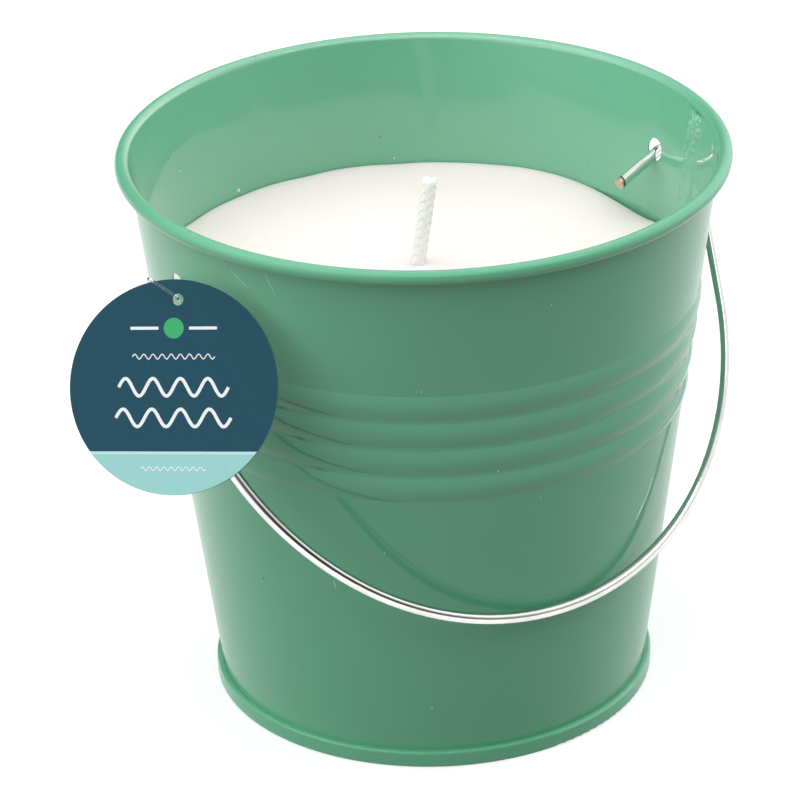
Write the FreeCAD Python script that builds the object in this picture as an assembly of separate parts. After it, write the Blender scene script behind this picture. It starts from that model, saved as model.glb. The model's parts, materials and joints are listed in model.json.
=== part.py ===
# Candle bucket: a tapered pressed-steel pail filled with wax, with a wick, a
# swinging wire bail and a round card tag on a moulded loop.
# Millimetres. +Z is up, the origin is at the middle of the base, X runs along
# the bail's hinge line and the bail hangs down on the -Y side.
import FreeCAD, Part
import math
import os

Vector = FreeCAD.Vector

# Pail
sheet = 0.35                  # steel thickness
height = 112.2                # floor to the top of the rolled rim
rim_diameter = 118.0          # outside of the rolled rim
curl_diameter = 2.8           # tube rolled at the rim
curl_gap_angle = 42.0         # opening left where the rolled edge comes back to the wall
base_diameter = 87.4          # outside of the folded base ring
base_ring_height = 3.3
base_ring_thickness = 1.1     # folded sheet outside the wall
base_recess = 2.4             # floor of the pail above what it stands on
base_edge_radius = 0.5
base_panel_radius = 0.8
fold_clearance = 0.05         # wall in the base fold
foot_passes = 20              # rounds that settle the foot of the wall

# Pressed rings around the pail
rib_count = 4
rib_pitch = 6.03
rib_width = 5.3
rib_depth = 0.45
rib_top_height = 82.1         # middle of the highest one

# Side seam inside the wall
seam_azimuth = -14.6          # degrees from +X
seam_width = 4.0
seam_depth = 0.35
seam_end_gap = 2.2            # below the rolled rim
seam_cut_reach = 1.0          # the wax's groove for the seam runs past the wax by this

# Bail holes
hole_diameter = 4.5
hole_below_rim = 14.7         # top of the pail to the middle of the holes

# Wax and wick
wax_below_rim = 26.2
wax_clearance = 0.1           # wax shrinks from the wall as it sets
wick_diameter = 3.1
wick_length_above = 17.6
wick_offset = (0.1, 3.0)      # place on the wax, from the pail's axis
wick_lean = 7.5               # degrees
wick_lean_azimuth = -32.6     # degrees from +X
wick_bend_radius = 14.0
sustainer_diameter = 19.0
sustainer_plate = 0.3
sustainer_neck_diameter = 4.6
sustainer_neck_height = 6.0

# Bail
wire_diameter = 2.2
bail_drop = 79.3              # hinge line to the middle of the wire at the bottom
bail_side_gap = 4.4           # wall to the middle of the wire at its widest
bail_waist_drop = 17.94       # hinge line to the widest place
bail_bottom_angle = 45.0      # half the span of the bottom arc
bail_shift = -0.7             # the bowed part sits a little to one side
bail_clearance = 0.3
shoulder_radius = 8.0
hook_angle = 21.0             # inner end below the hinge line
hook_length = 11.2            # middle of the wall to the wire's end
hook_start = 0.6              # wall to the start of the bend
hook_radius = 1.8

# Tag and its loop
tag_diameter = 39.5
tag_thickness = 0.5
tag_hole_diameter = 2.2
tag_hole_inset = 3.7          # middle of the hole to the tag's edge
tag_face_azimuth = 46.6       # degrees from -Y towards -X
tag_face_tilt = 27.0          # degrees above level
tag_spin = 2.4                # degrees that the tag is turned in its own plane
tag_shift = 5.47              # tag's hole to the right of the wire
tag_rise = 1.66               # tag's hole above the loop's place on the wire
tag_clearance = 3.0           # back of the tag to the wall, so that it clears the rim as it swings
tag_edge_samples = 72         # places round the tag where its distance to the wall is measured
tag_rings = (0.25, 0.5, 0.75, 1.0)
tag_reach_step = 0.001
loop_wire_diameter = 0.5
loop_place = 2.4              # down the straight leg from the hook's bend
loop_half_width = 3.35
loop_turn = 60.0              # degrees from the tag's upright to the loop
loop_front_radius = 1.0
loop_clearance = 0.36         # loop to the wire that it hangs on

# Worked out from the sizes above
rim_radius = rim_diameter / 2
curl_radius = curl_diameter / 2
base_radius = base_diameter / 2
wire_radius = wire_diameter / 2
wax_top = height - wax_below_rim
floor_top = base_recess + sheet
curl_centre = (rim_radius - curl_radius, height - curl_radius)
ring_inside = base_radius - base_ring_thickness - fold_clearance


def wall_taper_from(inner):
    # The wall's inner face runs straight from its foot to the side of the rolled rim.
    across = curl_centre[0] - inner
    up = curl_centre[1] - sheet
    return math.atan2(across, up) - math.asin(curl_radius / math.hypot(across, up))


def wall_foot():
    # Inner foot of the wall, set by the folded ring that goes round it.
    inner = ring_inside - sheet
    for _ in range(foot_passes):
        angle = wall_taper_from(inner)
        outer_at_ring = inner + sheet / math.cos(angle) + (base_ring_height - sheet) * math.tan(angle)
        inner += ring_inside - outer_at_ring
    return inner


foot = wall_foot()
taper = wall_taper_from(foot)


def wall_inside(z):
    return foot + (z - sheet) * math.tan(taper)


def wall_outside(z):
    return wall_inside(z) + sheet / math.cos(taper)


hole_height = height - hole_below_rim
hinge_height = hole_height - (hole_diameter / 2 - wire_radius - bail_clearance)
hinge_wall = wall_inside(hinge_height) + sheet / 2


def at(r, z):
    return Vector(r, 0, z)


def line(a, b):
    return Part.LineSegment(a, b).toShape()


def arc(a, middle, b):
    return Part.Arc(a, middle, b).toShape()


def polar(centre, radius, degrees):
    angle = math.radians(degrees)
    return at(centre[0] + radius * math.cos(angle), centre[1] + radius * math.sin(angle))


def revolved(edges, degrees=360.0):
    face = Part.Face(Part.Wire(Part.__sortEdges__(edges)))
    return face.revolve(Vector(0, 0, 0), Vector(0, 0, 1), degrees)


def swept(path, start, direction, radius):
    ring = Part.Wire([Part.Circle(start, direction, radius).toShape()])
    pipe = path.makePipeShell([ring], True, False)
    return pipe if pipe.ShapeType == "Solid" else Part.Solid(pipe)


def wall_face(inset, low, high):
    # Edges of the wall's section from low to high, at a depth measured in from its outer face.
    normal = Vector(math.cos(taper), 0, -math.sin(taper))
    up_slope = Vector(math.sin(taper), 0, math.cos(taper))

    def point(z):
        return at(wall_outside(z), z) - normal * inset

    edges = []
    here = at(wall_outside(low) - inset / math.cos(taper), low)
    for index in reversed(range(rib_count)):
        middle = point(rib_top_height - index * rib_pitch)
        start = middle - up_slope * (rib_width / 2)
        crest = middle + normal * rib_depth
        end = middle + up_slope * (rib_width / 2)
        edges.append(line(here, start))
        edges.append(arc(start, crest, end))
        here = end
    edges.append(line(here, at(wall_outside(high) - inset / math.cos(taper), high)))
    return edges


def reversed_edges(edges):
    turned = []
    for edge in reversed(edges):
        turned.append(Part.Edge(edge.reversed()))
    return turned


def make_wall():
    # One sheet, with the pressed rings, rolled outwards at the rim.
    side = 180.0 - math.degrees(taper)
    finish = -180.0 + curl_gap_angle
    inner_radius = curl_radius - sheet
    outer_start = polar(curl_centre, inner_radius, side)
    inner_start = polar(curl_centre, curl_radius, side)
    outer_face = wall_face(0.0, sheet, outer_start.z)
    inner_face = wall_face(sheet, sheet, inner_start.z)
    halfway = (side + finish) / 2
    roll_inside = arc(outer_start, polar(curl_centre, inner_radius, halfway),
                      polar(curl_centre, inner_radius, finish))
    roll_outside = arc(inner_start, polar(curl_centre, curl_radius, halfway),
                       polar(curl_centre, curl_radius, finish))
    roll_end = line(polar(curl_centre, inner_radius, finish), polar(curl_centre, curl_radius, finish))
    foot_edge = line(at(wall_inside(sheet), sheet), at(wall_outside(sheet), sheet))
    wall = revolved(outer_face + [roll_inside, roll_end, roll_outside] + inner_face + [foot_edge])
    wall = wall.fuse(seam_strip(floor_top, curl_centre[1] - curl_radius - seam_end_gap, 0.0))
    wall = wall.cut(bail_hole_cutter())
    return wall.removeSplitter()


def seam_strip(low, high, grow):
    # Folded seam down the inside of the wall, standing proud of it by the seam's depth.
    buried = wall_face(sheet / 2, low, high)
    proud = wall_face(sheet + seam_depth + grow, low, high)
    bottom = line(buried[0].Vertexes[0].Point, proud[0].Vertexes[0].Point)
    top = line(buried[-1].Vertexes[-1].Point, proud[-1].Vertexes[-1].Point)
    span = math.degrees((seam_width + 2 * grow) / wall_inside(hinge_height))
    strip = revolved(buried + [top] + proud + [bottom], span)
    strip.rotate(Vector(0, 0, 0), Vector(0, 0, 1), seam_azimuth - span / 2)
    return strip


def bail_hole_cutter():
    reach = 2 * rim_radius
    return Part.makeCylinder(hole_diameter / 2, 2 * reach, Vector(-reach, 0, hole_height), Vector(1, 0, 0))


def make_base():
    # Recessed floor, folded down and out, then up round the foot of the wall.
    inner_face = foot - fold_clearance
    under_face = inner_face - sheet
    ring_inside_top = wall_outside(base_ring_height) + fold_clearance
    ring_inside_foot = wall_outside(sheet) + fold_clearance
    edge = base_edge_radius
    bend = base_panel_radius
    quarter = math.sqrt(0.5)

    def corner(centre_r, centre_z, radius, sign_r, sign_z):
        return at(centre_r + sign_r * radius * quarter, centre_z + sign_z * radius * quarter)

    edges = [
        line(at(0, base_recess), at(under_face - bend, base_recess)),
        arc(at(under_face - bend, base_recess),
            corner(under_face - bend, base_recess - bend, bend, 1, 1),
            at(under_face, base_recess - bend)),
        line(at(under_face, base_recess - bend), at(under_face, edge)),
        arc(at(under_face, edge), corner(under_face + edge, edge, edge, -1, -1), at(under_face + edge, 0)),
        line(at(under_face + edge, 0), at(base_radius - edge, 0)),
        arc(at(base_radius - edge, 0), corner(base_radius - edge, edge, edge, 1, -1), at(base_radius, edge)),
        line(at(base_radius, edge), at(base_radius, base_ring_height - edge)),
        arc(at(base_radius, base_ring_height - edge),
            corner(base_radius - edge, base_ring_height - edge, edge, 1, 1),
            at(base_radius - edge, base_ring_height)),
        line(at(base_radius - edge, base_ring_height), at(ring_inside_top, base_ring_height)),
        line(at(ring_inside_top, base_ring_height), at(ring_inside_foot, sheet)),
        line(at(ring_inside_foot, sheet), at(inner_face, sheet)),
        line(at(inner_face, sheet), at(inner_face, floor_top - bend)),
        arc(at(inner_face, floor_top - bend), corner(inner_face - bend, floor_top - bend, bend, 1, 1),
            at(inner_face - bend, floor_top)),
        line(at(inner_face - bend, floor_top), at(0, floor_top)),
        line(at(0, floor_top), at(0, base_recess)),
    ]
    return revolved(edges)


def make_wick():
    # Upright in the wax, then leaning a little above it.
    lean = math.radians(wick_lean)
    azimuth = math.radians(wick_lean_azimuth)
    side = Vector(math.cos(azimuth), math.sin(azimuth), 0)
    foot_point = Vector(wick_offset[0], wick_offset[1], floor_top + sustainer_plate)
    bend_start = Vector(wick_offset[0], wick_offset[1], wax_top)
    centre = bend_start + side * wick_bend_radius
    middle = centre - side * (wick_bend_radius * math.cos(lean / 2))
    middle.z += wick_bend_radius * math.sin(lean / 2)
    bend_end = centre - side * (wick_bend_radius * math.cos(lean))
    bend_end.z += wick_bend_radius * math.sin(lean)
    top = bend_end + side * ((wick_length_above + wax_top - bend_end.z) * math.tan(lean))
    top.z = wax_top + wick_length_above
    path = Part.Wire([line(foot_point, bend_start), arc(bend_start, middle, bend_end), line(bend_end, top)])
    return swept(path, foot_point, Vector(0, 0, 1), wick_diameter / 2)


def make_sustainer():
    # Small metal foot that holds the wick upright on the floor of the pail.
    plate_radius = sustainer_diameter / 2
    neck_radius = sustainer_neck_diameter / 2
    neck_top = floor_top + sustainer_neck_height
    plate_top = floor_top + sustainer_plate
    place = Vector(wick_offset[0], wick_offset[1], 0)
    plate = Part.makeCylinder(plate_radius, sustainer_plate, place + Vector(0, 0, floor_top))
    neck = Part.makeCylinder(neck_radius, neck_top - plate_top, place + Vector(0, 0, plate_top))
    return plate.fuse(neck).cut(make_wick()).removeSplitter()


def make_wax():
    # Cast against the wall, so it carries the pressed rings and the seam.
    side = wall_face(sheet + wax_clearance, floor_top, wax_top)
    edges = [line(at(0, floor_top), side[0].Vertexes[0].Point)] + side
    edges += [line(side[-1].Vertexes[-1].Point, at(0, wax_top)), line(at(0, wax_top), at(0, floor_top))]
    groove = seam_strip(floor_top - seam_cut_reach, wax_top + seam_cut_reach, wax_clearance)
    return revolved(edges).cut(groove).cut(make_sustainer()).cut(make_wick())


def bail_angle():
    # Angle from straight down at which the wire's bottom rests on the wall.
    reach = wall_outside(hinge_height) + (wire_radius + bail_clearance) / math.cos(taper)
    return math.asin(reach * math.cos(taper) / bail_drop) - taper


def tangent(first, second):
    # Outer tangent that passes to the far side of both circles, from the first to the second.
    (s1, r1, radius1), (s2, r2, radius2) = first, second
    length = math.hypot(s2 - s1, r2 - r1)
    along = math.atan2(r2 - r1, s2 - s1)
    normal = along - math.acos(max(-1.0, min(1.0, (radius1 - radius2) / length)))
    start = (s1 + radius1 * math.cos(normal), r1 + radius1 * math.sin(normal))
    end = (s2 + radius2 * math.cos(normal), r2 + radius2 * math.sin(normal))
    return start, end, normal


def bail_side(side):
    # One side of the bail as (across, down) points and arcs, from the wire's end to the bottom arc.
    # Across is measured from the pail's axis towards that side.
    shift = bail_shift * side
    slope = math.radians(hook_angle)
    wall = wall_outside(hinge_height)
    bend_start_along = (wall + hook_start - hinge_wall) / math.cos(slope)
    tip = (hinge_wall - hook_length * math.cos(slope), hook_length * math.sin(slope))
    bend_start = (hinge_wall + bend_start_along * math.cos(slope), -bend_start_along * math.sin(slope))
    bend = (bend_start[0] + hook_radius * math.sin(slope), bend_start[1] + hook_radius * math.cos(slope),
            hook_radius)

    # The bowed part is a side arc and a bottom arc that run into each other at the bottom arc's span.
    half_width = wall + bail_side_gap
    span = math.radians(bail_bottom_angle)
    depth = bail_drop - bail_waist_drop
    offset = (depth - half_width) / (math.sin(span) + math.cos(span) - 1)
    side_radius = half_width + offset * math.sin(span)
    bottom_radius = depth - offset * math.cos(span)
    bottom_centre = (shift, bail_drop - bottom_radius)
    main = (shift + half_width - side_radius, bail_waist_drop, side_radius)
    shoulder_reach = max(rim_radius + wire_radius + bail_clearance, half_width + abs(bail_shift) + bail_clearance)
    shoulder = (shoulder_reach - shoulder_radius, curl_centre[1] - hinge_height, shoulder_radius)

    leg_start, leg_end, leg_normal = tangent(bend, shoulder)
    flare_start, flare_end, flare_normal = tangent(shoulder, main)
    bottom_start = (bottom_centre[0] + bottom_radius * math.sin(span),
                    bottom_centre[1] + bottom_radius * math.cos(span))
    return {
        "tip": tip, "bend_start": bend_start, "bend": bend, "bend_normal": slope - math.pi / 2,
        "leg_start": leg_start, "leg_end": leg_end, "leg_normal": leg_normal, "shoulder": shoulder,
        "flare_start": flare_start, "flare_end": flare_end, "flare_normal": flare_normal, "main": main,
        "bottom_start": bottom_start, "bottom_normal": math.pi / 2 - span,
    }


def bail_point(across, down):
    angle = bail_angle()
    return Vector(across, -down * math.sin(angle), hinge_height - down * math.cos(angle))


def bail_half(side):
    shape = bail_side(side)

    def place(point):
        return bail_point(side * point[0], point[1])

    def round_bend(circle, first, last, start, end):
        angle = (first + last) / 2
        middle = (circle[0] + circle[2] * math.cos(angle), circle[1] + circle[2] * math.sin(angle))
        return arc(place(start), place(middle), place(end))

    return [
        line(place(shape["tip"]), place(shape["bend_start"])),
        round_bend(shape["bend"], shape["bend_normal"], shape["leg_normal"], shape["bend_start"],
                   shape["leg_start"]),
        line(place(shape["leg_start"]), place(shape["leg_end"])),
        round_bend(shape["shoulder"], shape["leg_normal"], shape["flare_normal"], shape["leg_end"],
                   shape["flare_start"]),
        line(place(shape["flare_start"]), place(shape["flare_end"])),
        round_bend(shape["main"], shape["flare_normal"], shape["bottom_normal"], shape["flare_end"],
                   shape["bottom_start"]),
    ]


def make_bail():
    left = bail_half(-1)
    right = bail_half(1)
    bottom = arc(left[-1].Vertexes[-1].Point, bail_point(bail_shift, bail_drop), right[-1].Vertexes[-1].Point)
    path = Part.Wire(left + [bottom] + reversed_edges(right))
    start = left[0].Vertexes[0].Point
    return swept(path, start, left[0].Vertexes[-1].Point - start, wire_radius)


def tag_axes():
    # Right, up and face directions of the tag.
    azimuth = math.radians(tag_face_azimuth)
    tilt = math.radians(tag_face_tilt)
    face = Vector(-math.sin(azimuth) * math.cos(tilt), -math.cos(azimuth) * math.cos(tilt), math.sin(tilt))
    level = Vector(math.cos(azimuth), -math.sin(azimuth), 0)
    spin = math.radians(tag_spin)
    right = level * math.cos(spin) + face.cross(level) * math.sin(spin)
    return right, face.cross(right), face


def loop_anchor():
    # Middle of the wire where the loop goes round it, and the wire's direction there.
    shape = bail_side(-1)
    start = bail_point(-shape["leg_start"][0], shape["leg_start"][1])
    end = bail_point(-shape["leg_end"][0], shape["leg_end"][1])
    direction = (end - start).normalize()
    return start + direction * loop_place, direction


def tag_gap(reach):
    # Least distance from the back of the tag to the wall, for a tag held off the wire by reach.
    right, up, face = tag_axes()
    centre = tag_hole_at(reach) - up * (tag_diameter / 2 - tag_hole_inset) - face * (tag_thickness / 2)
    least = rim_diameter
    for ring in tag_rings:
        for step in range(tag_edge_samples):
            angle = 2 * math.pi * step / tag_edge_samples
            spot = centre + (right * math.cos(angle) + up * math.sin(angle)) * (ring * tag_diameter / 2)
            gap = (math.hypot(spot.x, spot.y) - wall_outside(spot.z) - rib_depth_at(spot.z)) * math.cos(taper)
            least = min(least, gap)
    return least


def rib_depth_at(z):
    lowest = rib_top_height - (rib_count - 1) * rib_pitch - rib_width / 2
    return rib_depth if lowest < z < rib_top_height + rib_width / 2 else 0.0


def tag_hole_at(reach):
    right, up, face = tag_axes()
    return loop_anchor()[0] + right * tag_shift + up * tag_rise + face * reach


def tag_hole():
    # The tag stands off the wire just far enough for its edge to clear the wall.
    near, far = wire_diameter, rim_radius
    while far - near > tag_reach_step:
        reach = (near + far) / 2
        if tag_gap(reach) < tag_clearance:
            near = reach
        else:
            far = reach
    return tag_hole_at(far)


def make_tag():
    right, up, face = tag_axes()
    hole = tag_hole()
    centre = hole - up * (tag_diameter / 2 - tag_hole_inset)
    back = face * (-tag_thickness / 2)
    card = Part.makeCylinder(tag_diameter / 2, tag_thickness, centre + back, face)
    punch = Part.makeCylinder(tag_hole_diameter / 2, 3 * tag_thickness, hole + back * 3, face)
    return card.cut(punch)


def make_loop():
    # A flat loop that passes through the tag's hole, over its edge and round the wire.
    right, up, face = tag_axes()
    anchor = loop_anchor()[0]
    hole = tag_hole()
    turn = math.radians(loop_turn)
    over_edge = up * math.cos(turn) - right * math.sin(turn)
    middle = hole + over_edge * loop_half_width
    out = (middle - anchor).normalize()
    across = over_edge - out * over_edge.dot(out)
    half = loop_half_width * across.Length
    across.normalize()
    loop_radius = loop_wire_diameter / 2
    behind = wire_radius + loop_clearance + loop_radius
    lift = max(0.0, over_edge.dot(out)) * loop_half_width
    ahead = (middle - anchor).Length + lift + tag_thickness / 2 + loop_radius + loop_front_radius

    def place(w, n):
        return anchor + across * w + out * n

    quarter = math.sqrt(0.5)
    front = ahead - loop_front_radius
    inner = half - loop_front_radius
    bulge = loop_front_radius * quarter
    back = half - behind
    edges = [
        line(place(-half, back), place(-half, front)),
        arc(place(-half, front), place(-inner - bulge, front + bulge), place(-inner, ahead)),
        line(place(-inner, ahead), place(inner, ahead)),
        arc(place(inner, ahead), place(inner + bulge, front + bulge), place(half, front)),
        line(place(half, front), place(half, back)),
        arc(place(half, back), place(0, -behind), place(-half, back)),
    ]
    start = place(-half, back)
    return swept(Part.Wire(edges), start, out, loop_radius)


def main():
    os.makedirs("parts", exist_ok=True)
    nodes = {
        "bucket_wall": make_wall(),
        "bucket_base": make_base(),
        "wax_fill": make_wax(),
        "wick": make_wick(),
        "wick_sustainer": make_sustainer(),
        "bail": make_bail(),
        "swing_tag": make_tag(),
        "tag_loop": make_loop(),
    }
    for name, shape in nodes.items():
        shape.exportStep(os.path.join("parts", name + ".step"))
        print("%-16s %d solid(s), valid %s, %.1f mm3" % (name, len(shape.Solids), shape.isValid(), shape.Volume))
    anchor, direction = loop_anchor()
    print("hinge at z %.4f, wall there %.3f" % (hinge_height, wall_outside(hinge_height)))
    print("bail angle %.4f degrees, taper %.4f" % (math.degrees(bail_angle()), math.degrees(taper)))
    print("loop anchor", [round(value, 4) for value in anchor], "along", [round(value, 6) for value in direction])
    print("tag hole", [round(value, 4) for value in tag_hole()])


main()
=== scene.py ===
import bpy, json, math
from mathutils import Matrix, Vector, noise

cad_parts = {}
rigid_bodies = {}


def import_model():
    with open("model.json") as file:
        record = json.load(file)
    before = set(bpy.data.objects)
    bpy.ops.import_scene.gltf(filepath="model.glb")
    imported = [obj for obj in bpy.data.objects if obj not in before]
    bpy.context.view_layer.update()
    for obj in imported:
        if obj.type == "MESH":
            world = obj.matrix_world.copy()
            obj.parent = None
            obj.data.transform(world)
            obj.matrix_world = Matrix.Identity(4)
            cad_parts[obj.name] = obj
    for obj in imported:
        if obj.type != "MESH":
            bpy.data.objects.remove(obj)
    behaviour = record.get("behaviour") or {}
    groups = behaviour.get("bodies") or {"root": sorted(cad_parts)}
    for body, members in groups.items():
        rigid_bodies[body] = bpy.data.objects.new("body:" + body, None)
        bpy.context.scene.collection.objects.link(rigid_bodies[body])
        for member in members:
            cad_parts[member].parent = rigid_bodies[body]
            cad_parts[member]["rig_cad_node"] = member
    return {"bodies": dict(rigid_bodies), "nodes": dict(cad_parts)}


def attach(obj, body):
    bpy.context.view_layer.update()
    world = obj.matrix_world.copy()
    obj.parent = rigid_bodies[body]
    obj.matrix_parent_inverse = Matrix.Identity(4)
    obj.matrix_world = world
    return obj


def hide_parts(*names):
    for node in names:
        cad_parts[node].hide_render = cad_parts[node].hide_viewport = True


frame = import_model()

for stray in list(bpy.data.objects):
    if "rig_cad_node" not in stray and stray not in frame["bodies"].values():
        bpy.data.objects.remove(stray)
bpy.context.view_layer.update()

MM = 0.001
UPWARD = Vector((0, 0, 1))
NODES = frame["nodes"]

# Camera: fitted to the rim, the base and the pressed rings in the photograph
CAMERA_AZIMUTH = -32.6
CAMERA_ELEVATION = 26.931
CAMERA_ROLL = -1.208
CAMERA_DISTANCE = 0.864978
CAMERA_TARGET = Vector((0, 0, 0.05))
CAMERA_SENSOR = 36.0
CAMERA_LENS = 197.404
CAMERA_SHIFT = (-0.036734, 0.04366)

# Lights: turns are degrees to the right of the camera, and sizes are metres
SKY_DARK = (0.04, 0.04, 0.04)
SKY_BRIGHT = (1.0, 1.0, 1.0)
SKY_DARK_UP_TO = 0.48         # height in the sky, 0 at the horizon and 1 overhead
SKY_BRIGHT_FROM = 0.7
SKY_SIDES = ((-68, 8, 2.3), (118, 5, 2.5))    # turn, elevation, strength
SKY_SIDE_NARROWNESS = 3.0
LAMP_COLOR = (1.0, 0.965, 0.94)
LAMP_DISTANCE = 1.1
LAMPS = (                     # name, turn, elevation, width, height, watts
    ("top_box", -12, 84, 2.4, 0.04, 4.7),
    ("front_box", -15, 56, 1.0, 0.4, 1.7),
)

# Floor
FLOOR_HALF = 6.0
FLOOR_SEEN = (0.60, 0.60, 0.60)
FLOOR_THROWN = (0.08, 0.08, 0.08)
FLOOR_GLOW = 0.5

# Tag: its axes, and its middle and sizes in millimetres
TAG_RIGHT = Vector((0.700298, -0.712875, 0.037311))
TAG_UP = Vector((0.300796, 0.342083, 0.890225))
TAG_FACE = Vector((-0.647383, -0.612199, 0.45399))
TAG_CENTRE = Vector((-67.3466, -19.0011, 87.4343))
TAG_RADIUS = 19.75
TAG_THICKNESS = 0.5
TAG_CUT_EDGE = 0.05
TAG_BARE_BACK = 0.02
TAG_BAND_TOP = -11.75         # top of the pale band, from the tag's middle
TAG_BAND_LINE = 0.5           # width of the light line along that top
CARD_BLUES = ((0.0185, 0.076, 0.114), (0.0205, 0.081, 0.121))
CARD_TEALS = ((0.325, 0.645, 0.625), (0.345, 0.665, 0.645))
CARD_LINE_COLOR = (0.50, 0.80, 0.78)
CARD_EDGE_COLOR = (0.10, 0.19, 0.22)
CARD_BACK_COLOR = (0.90, 0.90, 0.89)

# Print on the tag, in millimetres from its middle
PRINT_TURN = 2.6              # degrees that the print is turned on the card
PRINT_LIFT = 0.02
WAVE_LINES = (                # half length, height of the middle, depth, waves, stroke
    (10.4, 0.0, 3.2, 4, 0.62),
    (10.9, -5.6, 3.2, 4, 0.62),
    (7.8, 5.6, 0.9, 9, 0.20),
    (6.2, -14.9, 0.7, 9, 0.18),
)
DOT_HEIGHT = 10.8
DOT_RADIUS = 1.9
SIDE_LINE_START = 2.9
SIDE_LINE_END = 8.2
SIDE_LINE_STROKE = 0.55
WHITE_INK = (0.80, 0.86, 0.88)
GREEN_INK = (0.045, 0.42, 0.155)

# Wall, in millimetres
WALL_AT_HINGE = 54.700        # outside radius at the height of the bail's holes
HINGE_HEIGHT = 96.65
TAPER = math.radians(7.4154)
SHEET = 0.35

# Wax, in millimetres
WAX_TOP = 86.0
WAX_FLOOR = 2.75
WAX_GAP = 0.25
WAX_EDGE = 85.75
WAX_EDGE_UNEVENNESS = 0.25
WAX_EDGE_FINENESS = 6
WAX_DIP = 2.7                 # how far the wax sank on one side
WAX_DIP_AZIMUTH = 2.0
WAX_DIP_SPREAD = 15.0
WAX_DIP_REACH = 5.0
WAX_HOLLOW = 0.15             # how much lower the middle lies than the edge
WAX_RIPPLES = ((0.05, 3.0, 0.25), (0.16, 8.0, 0.08))    # fineness, place in the noise, height
WAX_RIDGE = 0.5               # ridge round the wick
WAX_RIDGE_REACH = 1.2
DROP_SQUASH = 0.9
DROP_BULGE = 0.7

# Seam: places across it are 1 at the edge of the CAD seam, heights are millimetres
SEAM_AZIMUTH = -14.6
SEAM_WIDTH = 4.0
SEAM_DEPTH = 0.35
SEAM_TOP = 109.2
SEAM_TOP_SOFTNESS = 0.35
SEAM_ABOVE_TOP = 1.2
SEAM_UNDER_WAX = 2.0
SEAM_PAINT = 0.12             # paint on top of the lap
SEAM_LAP_EDGE = 1.28
SEAM_LUMPS_EDGE = 1.5
SEAM_REACH = 1.7
SEAM_SOFTNESS = 0.05
SEAM_TUCK = 0.03              # how far the outer border lies behind the wall's face
SEAM_WAVERS = ((0.14, 0.3, 0.0), (0.05, 1.2, 4.0))      # amount, fineness, place in the noise
SEAM_LUMPS = (                # height, fineness across, fineness upwards, place in the noise
    (0.46, 1.3, 0.35, 5.0),
    (0.34, 3.5, 0.9, 9.0),
)
SEAM_LUMPS_SHARE = 0.5        # share of the lumps all along, and what is added near the top
SEAM_LUMPS_ADDED = 0.8
SEAM_LUMPS_BELOW_TOP = 1.0
SEAM_LUMPS_SPREAD = 5.0

# Wick: upright in the wax, leaning above it
WICK_PLACE = Vector((0.3, 3.1, 0))
WICK_TOP = 103.6
WICK_BURIED = 3.0
WICK_LEAN = math.radians(8.2)
WICK_LEAN_SIDE = Vector((0.8425, -0.5388, 0))
WICK_BEND = 2.5
WICK_RADIUS = 1.6
WICK_STRANDS = 8
WICK_STRAND_RADIUS = 0.5
WICK_WEAVE = 0.08
WICK_PITCH = 7.5
WICK_CORE_RADIUS = 1.42
WICK_CORE_SHORTER = 0.1

# Paint: gloss, coat and waviness each have a value outside and one inside the pail
GREEN = (0.112, 0.425, 0.250)
GREEN_TONES = (0.97, 1.03)
GLOSS_OUTSIDE, GLOSS_INSIDE = 0.18, 1.03
COAT_OUTSIDE, COAT_INSIDE = 0.56, 1.0
WAVES_OUTSIDE, WAVES_INSIDE = 0.2, 1.0
GRAIN_SHARE = 0.02
DUST_SCALE = 330.0
DUST_SIZE = 0.09
DUST_LIGHT_ABOVE = 0.99       # chances, from 0 to 1, that make a speck of dust light or dark
DUST_DARK_BELOW = 0.008
DUST_LIGHT = (0.42, 0.62, 0.52)
DUST_DARK = (0.04, 0.15, 0.10)

# Wire ends, in millimetres from the middle plane and up
WIRE_TIP = 44.55
# A narrow dark ring on the wire, next to the pale cut end
WIRE_DARK_RING = 45.0
WIRE_END_HEIGHT = 85.0
WIRE_TIP_COLOR = (0.60, 0.46, 0.36)
WIRE_DARK_RING_COLOR = (0.16, 0.12, 0.10)
WIRE_TIP_DULLNESS = 0.35
WIRE_DULLNESS = (0.035, 0.105)

# Marks on the paint: azimuth from +X in degrees and height in mm, from the photograph,
# then the width of a scratch or the radius of a speck or drop
SCRATCHES = (
    ((-163.2, 107.6), (-158.6, 103.9), 0.23),
    ((-153.9, 107.7), (-152.1, 103.4), 0.23),
    ((-145.8, 41.7), (-145.3, 40.0), 0.18),
    ((-108.5, 67.4), (-107.9, 66.9), 0.16),
)
SPECKS = (
    (-133.1, 49.6, 0.14), (-124.0, 85.9, 0.14), (-98.4, 101.6, 0.14), (-92.6, 76.3, 0.12),
    (-102.4, 63.3, 0.10), (-98.2, 59.5, 0.13), (-161.5, 62.6, 0.12),
)
WAX_DROPS = ((102.1, 86.9, 0.42), (63.9, 86.7, 0.28), (119.7, 96.8, 0.14), (19.7, 88.8, 0.16))
MARK_LIFT = 0.02
SCRATCH_BLUNTNESS = 0.12
SPECK_HEIGHT = 0.4            # share of its radius


def direction(azimuth, elevation):
    a, e = math.radians(azimuth), math.radians(elevation)
    return Vector((math.sin(a) * math.cos(e), -math.cos(a) * math.cos(e), math.sin(e)))


def shader(name, **values):
    material = bpy.data.materials.new(name)
    material.use_nodes = True
    tree = material.node_tree
    surface = tree.nodes["Principled BSDF"]
    for key, value in values.items():
        surface.inputs[key.replace("_", " ")].default_value = value
    return material, tree, surface


def node(tree, kind, **values):
    made = tree.nodes.new(kind)
    for key, value in values.items():
        setattr(made, key, value)
    return made


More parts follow.
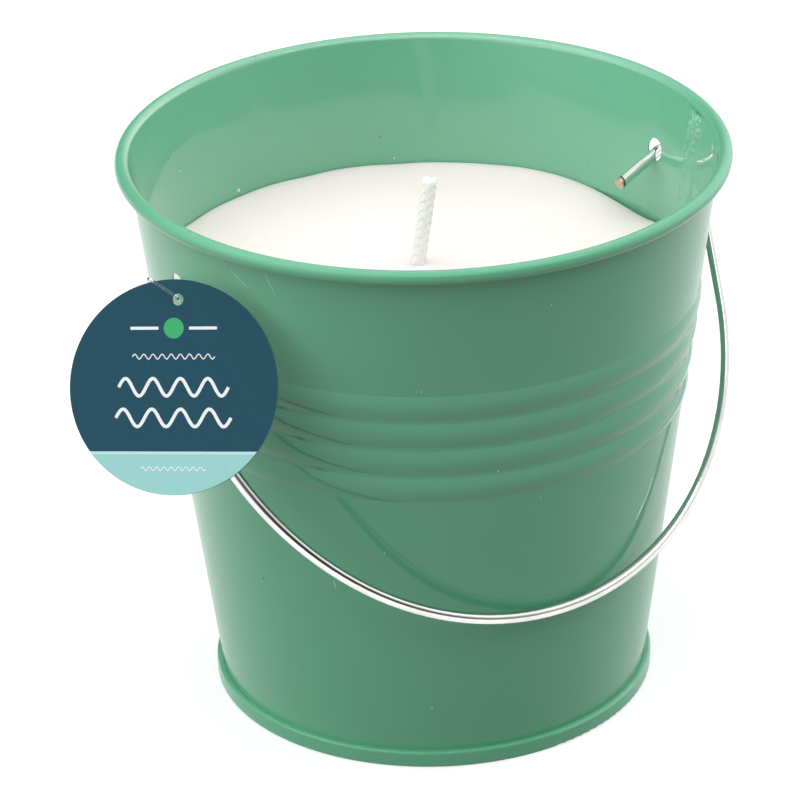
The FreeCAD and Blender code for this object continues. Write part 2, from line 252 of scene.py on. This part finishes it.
def math_node(tree, operation, first, second=None, third=None, clamp=False):
    made = node(tree, "ShaderNodeMath", operation=operation, use_clamp=clamp)
    for index, value in enumerate((first, second, third)):
        if value is None:
            continue
        if isinstance(value, (int, float)):
            made.inputs[index].default_value = value
        else:
            tree.links.new(value, made.inputs[index])
    return made.outputs[0]


def between(tree, factor, low, high):
    # low where the factor is 0 and high where it is 1
    return math_node(tree, "MULTIPLY_ADD", factor, high - low, low)


def object_coordinates(tree):
    return node(tree, "ShaderNodeTexCoord").outputs["Object"]


def dot_product(tree, vector, axis):
    made = node(tree, "ShaderNodeVectorMath", operation="DOT_PRODUCT")
    tree.links.new(vector, made.inputs[0])
    made.inputs[1].default_value = axis
    return made.outputs["Value"]


def noise_texture(tree, vector, scale, detail=3.0):
    made = node(tree, "ShaderNodeTexNoise")
    made.inputs["Scale"].default_value = scale
    made.inputs["Detail"].default_value = detail
    tree.links.new(vector, made.inputs["Vector"])
    return made.outputs["Fac"]


def ramp(tree, value, stops):
    made = node(tree, "ShaderNodeValToRGB")
    elements = made.color_ramp.elements
    while len(elements) < len(stops):
        elements.new(0.5)
    for element, (position, color) in zip(elements, stops):
        element.position = position
        element.color = (*color, 1.0)
    tree.links.new(value, made.inputs["Fac"])
    return made.outputs["Color"]


def two_tones(tree, value, first, second, first_to=0.3, second_from=0.7):
    return ramp(tree, value, [(first_to, first), (second_from, second)])


def mixed(tree, factor, first, second):
    made = node(tree, "ShaderNodeMix", data_type="RGBA")
    for socket, value in ((made.inputs[0], factor), (made.inputs[6], first), (made.inputs[7], second)):
        if isinstance(value, (int, float)):
            socket.default_value = value
        elif isinstance(value, tuple):
            socket.default_value = (*value, 1.0)
        else:
            tree.links.new(value, socket)
    return made.outputs[2]


def bump(tree, surface, height, strength, distance, socket="Normal"):
    made = node(tree, "ShaderNodeBump")
    made.inputs["Strength"].default_value = strength
    made.inputs["Distance"].default_value = distance
    tree.links.new(height, made.inputs["Height"])
    tree.links.new(made.outputs["Normal"], surface.inputs[socket])


def paint_material():
    material, tree, surface = shader("pail_enamel", Roughness=0.4, Coat_Roughness=0.02, Coat_IOR=1.5)
    place = object_coordinates(tree)
    broad = noise_texture(tree, place, scale=28.0, detail=2.0)
    darker, lighter = (tuple(part * tone for part in GREEN) for tone in GREEN_TONES)
    color = dusted(tree, place, two_tones(tree, broad, darker, lighter))
    tree.links.new(color, surface.inputs["Base Color"])
    inside = inside_mask(tree, place)
    gloss = between(tree, inside, GLOSS_OUTSIDE, GLOSS_INSIDE)
    tree.links.new(gloss, surface.inputs["Specular IOR Level"])
    coat = between(tree, inside, COAT_OUTSIDE, COAT_INSIDE)
    tree.links.new(coat, surface.inputs["Coat Weight"])
    wave = noise_texture(tree, place, scale=55.0, detail=1.0)
    grain = noise_texture(tree, place, scale=900.0, detail=2.0)
    waves = math_node(tree, "MULTIPLY", wave, between(tree, inside, WAVES_OUTSIDE, WAVES_INSIDE))
    height = math_node(tree, "ADD", waves, math_node(tree, "MULTIPLY", grain, GRAIN_SHARE))
    bump(tree, surface, height, strength=0.35, distance=0.0012, socket="Coat Normal")
    bump(tree, surface, grain, strength=0.05, distance=0.0002)
    return material


def dusted(tree, place, color):
    # A few light and dark specks of dust in the paint
    cells = node(tree, "ShaderNodeTexVoronoi", feature="F1")
    cells.inputs["Scale"].default_value = DUST_SCALE
    tree.links.new(place, cells.inputs["Vector"])
    parts = node(tree, "ShaderNodeSeparateColor")
    tree.links.new(cells.outputs["Color"], parts.inputs[0])
    chance = parts.outputs[0]
    small = math_node(tree, "LESS_THAN", cells.outputs["Distance"], DUST_SIZE)
    light = math_node(tree, "MULTIPLY", small, math_node(tree, "GREATER_THAN", chance, DUST_LIGHT_ABOVE))
    dark = math_node(tree, "MULTIPLY", small, math_node(tree, "LESS_THAN", chance, DUST_DARK_BELOW))
    return mixed(tree, dark, mixed(tree, light, color, DUST_LIGHT), DUST_DARK)


def inside_mask(tree, place):
    # 1 on faces that look towards the pail's axis, nearly 1 on top of the rim and 0 on the outside
    fall, on_level_faces = -2.0, 0.9
    flat = node(tree, "ShaderNodeVectorMath", operation="MULTIPLY")
    tree.links.new(place, flat.inputs[0])
    flat.inputs[1].default_value = (1, 1, 0)
    outward = node(tree, "ShaderNodeVectorMath", operation="NORMALIZE")
    tree.links.new(flat.outputs[0], outward.inputs[0])
    geometry = node(tree, "ShaderNodeNewGeometry")
    facing = node(tree, "ShaderNodeVectorTransform", vector_type="NORMAL", convert_from="WORLD",
                  convert_to="OBJECT")
    tree.links.new(geometry.outputs["Normal"], facing.inputs[0])
    side = node(tree, "ShaderNodeVectorMath", operation="DOT_PRODUCT")
    tree.links.new(outward.outputs[0], side.inputs[0])
    tree.links.new(facing.outputs[0], side.inputs[1])
    return math_node(tree, "MULTIPLY_ADD", side.outputs["Value"], fall, on_level_faces, clamp=True)


def wire_material():
    material, tree, surface = shader("plated_wire", Metallic=1.0)
    place = object_coordinates(tree)
    patches = noise_texture(tree, place, scale=120.0)
    color = two_tones(tree, patches, (0.70, 0.69, 0.68), (0.80, 0.79, 0.78), 0.35, 0.65)
    axis = node(tree, "ShaderNodeSeparateXYZ")
    tree.links.new(place, axis.inputs[0])
    across = math_node(tree, "ABSOLUTE", axis.outputs["X"])
    high = math_node(tree, "GREATER_THAN", axis.outputs["Z"], WIRE_END_HEIGHT * MM)
    # The pale cut end at each tip, and a narrow dark ring on the wire next to it
    tip, tip_and_ring = (
        math_node(tree, "MULTIPLY", math_node(tree, "LESS_THAN", across, limit * MM), high)
        for limit in (WIRE_TIP, WIRE_DARK_RING)
    )
    color = mixed(tree, tip, color, WIRE_TIP_COLOR)
    color = mixed(tree, math_node(tree, "SUBTRACT", tip_and_ring, tip), color, WIRE_DARK_RING_COLOR)
    tree.links.new(color, surface.inputs["Base Color"])
    dull = math_node(tree, "MULTIPLY_ADD", tip, WIRE_TIP_DULLNESS, between(tree, patches, *WIRE_DULLNESS))
    tree.links.new(dull, surface.inputs["Roughness"])
    bump(tree, surface, noise_texture(tree, place, scale=700.0, detail=2.0), strength=0.03, distance=0.0002)
    return material


def wax_material():
    material, tree, surface = shader("candle_wax", Roughness=0.42, Subsurface_Weight=0.7,
                                     Subsurface_Radius=(0.9, 0.75, 0.6), Subsurface_Scale=0.003, IOR=1.44)
    place = object_coordinates(tree)
    cloud = noise_texture(tree, place, scale=60.0)
    color = two_tones(tree, cloud, (0.91, 0.80, 0.81), (0.925, 0.815, 0.825))
    tree.links.new(color, surface.inputs["Base Color"])
    bump(tree, surface, noise_texture(tree, place, scale=160.0), strength=0.15, distance=0.0006)
    return material


def wick_material():
    material, tree, surface = shader("cotton_braid", Roughness=0.6, Subsurface_Weight=0.2,
                                     Subsurface_Radius=(1.0, 0.95, 0.9), Subsurface_Scale=0.0005)
    place = object_coordinates(tree)
    fibres = noise_texture(tree, place, scale=1800.0)
    color = two_tones(tree, fibres, (1.0, 0.975, 0.96), (1.0, 0.99, 0.98))
    tree.links.new(color, surface.inputs["Base Color"])
    bump(tree, surface, noise_texture(tree, place, scale=4200.0, detail=2.0), strength=0.25, distance=0.0002)
    return material


def plain_material(name, scale, first, second, detail=3.0, **values):
    # A material whose colour varies between two tones and that has no bump
    material, tree, surface = shader(name, **values)
    grain = noise_texture(tree, object_coordinates(tree), scale, detail)
    tree.links.new(two_tones(tree, grain, first, second), surface.inputs["Base Color"])
    return material


def steel_material():
    return plain_material("stamped_steel", 300.0, (0.52, 0.53, 0.54), (0.66, 0.67, 0.68),
                          Metallic=1.0, Roughness=0.35)


def clear_material():
    return plain_material("clear_nylon", 500.0, (0.90, 0.92, 0.93), (0.97, 0.98, 0.98), detail=2.0,
                          Roughness=0.02, Transmission_Weight=0.97, IOR=1.15)


def marks_material():
    return plain_material("bare_marks", 900.0, (0.50, 0.70, 0.60), (0.72, 0.86, 0.78),
                          Roughness=0.4, Specular_IOR_Level=0.4)


def ink(name, color):
    lighter = tuple(part * 1.05 for part in color)
    return plain_material(name, 1500.0, color, lighter, Roughness=0.55, Specular_IOR_Level=0.2)


def tag_axes():
    turn = math.radians(PRINT_TURN)
    right = TAG_RIGHT * math.cos(turn) + TAG_UP * math.sin(turn)
    return right, TAG_FACE.cross(right), TAG_FACE


def card_material():
    material, tree, surface = shader("printed_card", Roughness=0.7, Specular_IOR_Level=0.1)
    place = object_coordinates(tree)
    up, face = tag_axes()[1:]
    moved = node(tree, "ShaderNodeVectorMath", operation="SUBTRACT")
    tree.links.new(place, moved.inputs[0])
    moved.inputs[1].default_value = TAG_CENTRE * MM
    height = dot_product(tree, moved.outputs[0], up)
    depth = dot_product(tree, moved.outputs[0], face)
    length = node(tree, "ShaderNodeVectorMath", operation="LENGTH")
    tree.links.new(moved.outputs[0], length.inputs[0])
    grain = noise_texture(tree, place, scale=1500.0)
    band = math_node(tree, "LESS_THAN", height, TAG_BAND_TOP * MM)
    color = mixed(tree, band, two_tones(tree, grain, *CARD_BLUES), two_tones(tree, grain, *CARD_TEALS))
    above = math_node(tree, "GREATER_THAN", height, (TAG_BAND_TOP - TAG_BAND_LINE) * MM)
    color = mixed(tree, math_node(tree, "MULTIPLY", band, above), color, CARD_LINE_COLOR)
    rim = math_node(tree, "GREATER_THAN", length.outputs["Value"], (TAG_RADIUS - TAG_CUT_EDGE) * MM)
    color = mixed(tree, rim, color, CARD_EDGE_COLOR)
    printed = math_node(tree, "GREATER_THAN", depth, (TAG_BARE_BACK - TAG_THICKNESS / 2) * MM)
    color = mixed(tree, printed, CARD_BACK_COLOR, color)
    tree.links.new(color, surface.inputs["Base Color"])
    bump(tree, surface, grain, strength=0.06, distance=0.0002)
    return material


def floor_material():
    # Pale where the camera, glass and gloss see it, and dark in the light that it throws back
    material, tree, surface = shader("studio_floor", Roughness=0.75, Specular_IOR_Level=0.1,
                                     Emission_Color=(1, 1, 1, 1))
    path = node(tree, "ShaderNodeLightPath")
    direct = math_node(tree, "MAXIMUM", path.outputs["Is Camera Ray"], path.outputs["Is Transmission Ray"])
    seen = math_node(tree, "MAXIMUM", direct, path.outputs["Is Glossy Ray"])
    tree.links.new(mixed(tree, seen, FLOOR_THROWN, FLOOR_SEEN), surface.inputs["Base Color"])
    tree.links.new(math_node(tree, "MULTIPLY", seen, FLOOR_GLOW), surface.inputs["Emission Strength"])
    return material


def dress(name, material):
    mesh = NODES[name].data
    mesh.materials.clear()
    mesh.materials.append(material)


def make_floor():
    mesh = bpy.data.meshes.new("floor")
    corners = [(x * FLOOR_HALF, y * FLOOR_HALF, 0) for x, y in ((-1, -1), (1, -1), (1, 1), (-1, 1))]
    mesh.from_pydata(corners, [], [(0, 1, 2, 3)])
    floor = bpy.data.objects.new("floor", mesh)
    bpy.context.collection.objects.link(floor)
    mesh.materials.append(floor_material())


def softbox(name, turn, elevation, width, height, watts):
    light = bpy.data.lights.new(name, "AREA")
    light.shape = "RECTANGLE"
    light.size, light.size_y = width, height
    light.energy = watts
    light.color = LAMP_COLOR
    lamp = bpy.data.objects.new(name, light)
    bpy.context.collection.objects.link(lamp)
    toward = direction(CAMERA_AZIMUTH + turn, elevation)
    lamp.location = CAMERA_TARGET + toward * LAMP_DISTANCE
    lamp.rotation_mode = "QUATERNION"
    lamp.rotation_quaternion = toward.to_track_quat("Z", "Y")


def make_lights():
    # Bright overhead and dark low down, but lighter on the left and behind on the right
    world = bpy.data.worlds.new("studio")
    bpy.context.scene.world = world
    world.use_nodes = True
    tree = world.node_tree
    place = node(tree, "ShaderNodeTexCoord").outputs["Generated"]
    axis = node(tree, "ShaderNodeSeparateXYZ")
    tree.links.new(place, axis.inputs[0])
    sky = two_tones(tree, axis.outputs["Z"], SKY_DARK, SKY_BRIGHT, SKY_DARK_UP_TO, SKY_BRIGHT_FROM)
    for turn, elevation, strength in SKY_SIDES:
        side = dot_product(tree, place, direction(CAMERA_AZIMUTH + turn, elevation))
        lobe = math_node(tree, "POWER", math_node(tree, "MAXIMUM", side, 0.0), SKY_SIDE_NARROWNESS)
        sky = mixed(tree, lobe, sky, (strength, strength, strength))
    back = tree.nodes["Background"]
    tree.links.new(sky, back.inputs["Color"])
    back.inputs["Strength"].default_value = 1.0
    for lamp in LAMPS:
        softbox(*lamp)


def make_camera():
    camera = bpy.data.objects.new("camera", bpy.data.cameras.new("camera"))
    bpy.context.collection.objects.link(camera)
    back = direction(CAMERA_AZIMUTH, CAMERA_ELEVATION)
    aim = (-back).to_track_quat("-Z", "Y").to_matrix() @ Matrix.Rotation(math.radians(CAMERA_ROLL), 3, "Z")
    camera.rotation_mode = "QUATERNION"
    camera.rotation_quaternion = aim.to_quaternion()
    camera.location = CAMERA_TARGET + back * CAMERA_DISTANCE
    camera.data.sensor_width = CAMERA_SENSOR
    camera.data.lens = CAMERA_LENS
    camera.data.shift_x, camera.data.shift_y = CAMERA_SHIFT
    bpy.context.scene.camera = camera


def wall_outside(z):
    return WALL_AT_HINGE + (z - HINGE_HEIGHT) * math.tan(TAPER)


def wall_inside(z):
    return wall_outside(z) - SHEET / math.cos(TAPER)


def around(angle, radius, z):
    return Vector((radius * math.cos(angle), radius * math.sin(angle), z))


def round_place(azimuth, radius, z):
    return around(math.radians(azimuth), radius, z)


def noise_at(x, y, z):
    return noise.noise(Vector((x, y, z)))


def soft_step(value, edge, softness):
    # 1 below the edge and 0 above it
    return 1 / (1 + math.exp((value - edge) / softness))


def add_mesh(name, points, faces, material, body, smooth=True):
    mesh = bpy.data.meshes.new(name)
    mesh.from_pydata([point * MM for point in points], [], faces)
    mesh.materials.append(material)
    mesh.polygons.foreach_set("use_smooth", [smooth] * len(mesh.polygons))
    mesh.update()
    made = bpy.data.objects.new(name, mesh)
    bpy.context.collection.objects.link(made)
    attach(made, body)
    return made


def ring_faces(start, rings, sides):
    # Faces between closed rings of points, from the first ring to the last
    faces = []
    for ring in range(rings):
        for side in range(sides):
            a = start + ring * sides + side
            b = start + ring * sides + (side + 1) % sides
            faces.append((a, b, b + sides, a + sides))
    return faces


def tube(points, faces, path, radius, sides):
    # Adds a closed round tube along a list of points, with flat ends
    start = len(points)
    across = None
    for index, here in enumerate(path):
        ahead = path[min(index + 1, len(path) - 1)] - path[max(index - 1, 0)]
        ahead.normalize()
        across = ahead.orthogonal() if across is None else across - ahead * across.dot(ahead)
        across.normalize()
        other = ahead.cross(across)
        for side in range(sides):
            angle = 2 * math.pi * side / sides
            points.append(here + (across * math.cos(angle) + other * math.sin(angle)) * radius)
    faces += ring_faces(start, len(path) - 1, sides)
    faces.append(tuple(start + side for side in reversed(range(sides))))
    last = start + (len(path) - 1) * sides
    faces.append(tuple(last + side for side in range(sides)))


def wick_middle(z):
    rise = max(0.0, z - WAX_TOP)
    bend = 1.0 - math.exp(-rise / WICK_BEND)
    return WICK_PLACE + Vector((0, 0, z)) + WICK_LEAN_SIDE * (rise * math.tan(WICK_LEAN) * bend)


def make_wick(material):
    # Braid round a plain core: half of the strands turn one way and half the other, over and under
    points, faces = [], []
    steps, core_steps = 150, 30
    half = WICK_STRANDS // 2
    foot = WAX_TOP - WICK_BURIED
    for strand in range(WICK_STRANDS):
        way = 1 if strand < half else -1
        path = []
        for step in range(steps + 1):
            z = foot + (WICK_TOP - foot) * step / steps
            turn = way * 2 * math.pi * z / WICK_PITCH + 2 * math.pi * (strand % half) / half
            weave = WICK_WEAVE * way * math.cos(half * turn)
            spread = WICK_RADIUS - WICK_STRAND_RADIUS - WICK_WEAVE + weave
            path.append(wick_middle(z) + around(turn, spread, 0))
        tube(points, faces, path, WICK_STRAND_RADIUS, 10)
    rise = WICK_TOP - WICK_CORE_SHORTER - foot
    core = [wick_middle(foot + rise * step / core_steps) for step in range(core_steps + 1)]
    tube(points, faces, core, WICK_CORE_RADIUS, 16)
    braid = add_mesh("wick_braid", points, faces, material, "bucket")
    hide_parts("wick")


def wax_edge(azimuth):
    # Height at which the wax meets the wall: it sank on one side as it set
    off = (math.degrees(azimuth) - WAX_DIP_AZIMUTH + 180) % 360 - 180
    dip = WAX_DIP * math.exp(-(off / WAX_DIP_SPREAD) ** 2)
    uneven = noise.noise(around(azimuth, WAX_EDGE_FINENESS, 1.0)) * WAX_EDGE_UNEVENNESS
    return WAX_EDGE - dip + uneven


def wax_height(radius, azimuth):
    # Nearly level, with slow ripples and a low ridge round the wick
    x = radius * math.cos(azimuth)
    y = radius * math.sin(azimuth)
    level = WAX_EDGE - WAX_HOLLOW
    for fineness, layer, height in WAX_RIPPLES:
        level += noise_at(x * fineness, y * fineness, layer) * height
    to_edge = wall_inside(WAX_TOP) - WAX_GAP - radius
    level += (wax_edge(azimuth) - level) * math.exp(-to_edge / WAX_DIP_REACH)
    to_wick = math.hypot(x - WICK_PLACE.x, y - WICK_PLACE.y)
    level += WAX_RIDGE * math.exp(-max(0.0, to_wick - WICK_RADIUS) / WAX_RIDGE_REACH)
    return level


def wax_rings(edge):
    # Radii of the rings of points, which lie closer together near the wick and near the wall
    core, border = 9.0, 3.0
    radii = [core * step / 15 for step in range(1, 16)]
    radii += [core + (edge - core - border) * step / 28 for step in range(1, 29)]
    radii += [edge - border * (1 - step / 10) ** 2 for step in range(1, 11)]
    return radii


def make_wax(material):
    sectors = 192
    azimuths = [2 * math.pi * sector / sectors for sector in range(sectors)]
    edge = wall_inside(WAX_TOP) - WAX_GAP
    radii = wax_rings(edge)
    points = [Vector((0, 0, wax_height(0.0, 0.0)))]
    for radius in radii:
        for azimuth in azimuths:
            z = wax_height(radius, azimuth)
            inward = (wall_inside(z) - WAX_GAP) / edge
            points.append(around(azimuth, radius * inward, z))
    foot = wall_inside(WAX_FLOOR) - WAX_GAP
    points += [around(azimuth, foot, WAX_FLOOR) for azimuth in azimuths]
    faces = [(0, 1 + sector, 1 + (sector + 1) % sectors) for sector in range(sectors)]
    faces += [(a, d, c, b) for a, b, c, d in ring_faces(1, len(radii), sectors)]
    last = 1 + len(radii) * sectors
    faces.append(tuple(last + sector for sector in reversed(range(sectors))))
    wax = add_mesh("candle_wax", points, faces, material, "bucket")
    wax.data.set_sharp_from_angle(angle=math.radians(50))
    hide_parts("wax_fill")


def make_wax_drops(material):
    points, faces = [], []
    rings, sides = 5, 14
    for azimuth, z, size in WAX_DROPS:
        middle = round_place(azimuth, wall_inside(z), z)
        inward = round_place(azimuth, -1.0, 0.0)
        along = UPWARD.cross(inward)
        faces += ring_faces(len(points), rings, sides)
        for ring in range(rings + 1):
            angle = math.pi / 2 * ring / rings
            bulge = inward * (size * DROP_BULGE * math.sin(angle))
            for side in range(sides):
                turn = 2 * math.pi * side / sides
                spot = along * math.cos(turn) + UPWARD * math.sin(turn) * DROP_SQUASH
                points.append(middle + spot * (size * math.cos(angle)) + bulge)
    drops = add_mesh("wax_drops", points, faces, material, "bucket")


def add_scratch(points, faces, first, last, width):
    steps = 8
    start = len(points)
    ends = [round_place(azimuth, wall_outside(z), z) for azimuth, z in (first, last)]
    for step in range(steps + 1):
        share = step / steps
        azimuth, z = (a + (b - a) * share for a, b in zip(first, last))
        here = round_place(azimuth, wall_outside(z) + MARK_LIFT, z)
        across = (ends[1] - ends[0]).cross(here).normalized()
        taper = math.sin(math.pi * (SCRATCH_BLUNTNESS + (1 - 2 * SCRATCH_BLUNTNESS) * share))
        half = width * taper / 2
        points += [here - across * half, here + across * half]
    for a in range(start, start + 2 * steps, 2):
        faces.append((a, a + 1, a + 3, a + 2))


def add_speck(points, faces, azimuth, z, size):
    sides = 8
    here = round_place(azimuth, wall_outside(z) + MARK_LIFT, z)
    outward = round_place(azimuth, 1.0, 0.0)
    along = UPWARD.cross(outward)
    start = len(points)
    points.append(here + outward * size * SPECK_HEIGHT)
    for side in range(sides):
        turn = 2 * math.pi * side / sides
        points.append(here + (along * math.cos(turn) + UPWARD * math.sin(turn)) * size)
        faces.append((start, start + 1 + side, start + 1 + (side + 1) % sides))


def make_marks(material):
    # Fine scratches and specks that stand a hair above the paint
    points, faces = [], []
    for scratch in SCRATCHES:
        add_scratch(points, faces, *scratch)
    for speck in SPECKS:
        add_speck(points, faces, *speck)
    marks = add_mesh("paint_marks", points, faces, material, "bucket")


def seam_height(across, z):
    # How far the painted seam stands out from the wall
    waver = sum(amount * noise_at(2.0, z * fineness, layer) for amount, fineness, layer in SEAM_WAVERS)
    lap = (SEAM_DEPTH + SEAM_PAINT) * soft_step(abs(across + waver), SEAM_LAP_EDGE, SEAM_SOFTNESS)
    lap *= soft_step(z, SEAM_TOP, SEAM_TOP_SOFTNESS)
    near_top = math.exp(-((z - SEAM_TOP + SEAM_LUMPS_BELOW_TOP) / SEAM_LUMPS_SPREAD) ** 2)
    lumps = sum(height * abs(noise_at(across * sideways, z * upwards, layer))
                for height, sideways, upwards, layer in SEAM_LUMPS)
    lumps *= SEAM_LUMPS_SHARE + SEAM_LUMPS_ADDED * near_top
    fade = soft_step(abs(across), SEAM_LUMPS_EDGE, SEAM_SOFTNESS)
    return lap + lumps * fade - SEAM_TUCK * (1 - fade)


def make_seam(material):
    # Lapped seam on the inside, under paint that lies on it in lumps and runs
    points, faces = [], []
    low = WAX_EDGE - WAX_DIP - SEAM_UNDER_WAX
    high = SEAM_TOP + SEAM_ABOVE_TOP
    rows, columns = 200, 44
    half = math.degrees(SEAM_WIDTH / 2 / wall_inside(HINGE_HEIGHT)) * SEAM_REACH
    for row in range(rows + 1):
        z = low + (high - low) * row / rows
        for column in range(columns + 1):
            share = 2 * column / columns - 1
            radius = wall_inside(z) - seam_height(share * SEAM_REACH, z)
            points.append(round_place(SEAM_AZIMUTH + half * share, radius, z))
    for row in range(rows):
        for column in range(columns):
            a = row * (columns + 1) + column
            faces.append((a, a + 1, a + columns + 2, a + columns + 1))
    seam = add_mesh("side_seam", points, faces, material, "bucket")


def on_tag(flat):
    # The place on the printed face at these millimetres across and up from the tag's middle
    right, up, face = tag_axes()
    return TAG_CENTRE + right * flat.x + up * flat.y + face * (TAG_THICKNESS / 2 + PRINT_LIFT)


def strip(points, faces, path, width):
    # Adds a flat printed line along a list of places on the tag
    start = len(points)
    for index, here in enumerate(path):
        ahead = Vector(path[min(index + 1, len(path) - 1)]) - Vector(path[max(index - 1, 0)])
        ahead.normalize()
        across = Vector((-ahead.y, ahead.x)) * (width / 2)
        points += [on_tag(Vector(here) - across), on_tag(Vector(here) + across)]
    for index in range(len(path) - 1):
        a = start + 2 * index
        faces.append((a, a + 2, a + 3, a + 1))


def wave_line(half, middle, height, waves):
    steps = 24 * waves
    places = []
    for step in range(steps + 1):
        share = step / steps
        x = -half + 2 * half * share
        places.append((x, middle + height / 2 * math.sin(2 * math.pi * waves * share)))
    return places


def make_print():
    # Plain printed lines and a dot
    points, faces = [], []
    for half, middle, height, waves, stroke in WAVE_LINES:
        strip(points, faces, wave_line(half, middle, height, waves), stroke)
    for side in (-1, 1):
        path = [(side * x, DOT_HEIGHT) for x in (SIDE_LINE_START, SIDE_LINE_END)]
        strip(points, faces, path, SIDE_LINE_STROKE)
    lines = add_mesh("tag_print_lines", points, faces, ink("white_ink", WHITE_INK), "tag", False)
    sides = 48
    turns = [2 * math.pi * side / sides for side in range(sides)]
    middle = Vector((0.0, DOT_HEIGHT))
    points = [on_tag(middle + Vector((math.cos(turn), math.sin(turn))) * DOT_RADIUS) for turn in turns]
    dot = add_mesh("tag_print_dot", points, [tuple(range(sides))], ink("green_ink", GREEN_INK), "tag", False)
    # The card's mirror image is left out of the gloss, as in the photograph. Its shadow stays.
    for piece in (lines, dot, NODES["swing_tag"]):
        piece.visible_glossy = False


make_camera()
make_lights()
make_floor()
paint = paint_material()
dress("bucket_wall", paint)
dress("bucket_base", paint)
dress("bail", wire_material())
wax = wax_material()
make_wax(wax)
make_wax_drops(wax)
make_wick(wick_material())
make_seam(paint)
make_marks(marks_material())
make_print()
dress("wick_sustainer", steel_material())
dress("swing_tag", card_material())
dress("tag_loop", clear_material())

bpy.context.scene.view_settings.view_transform = "Standard"
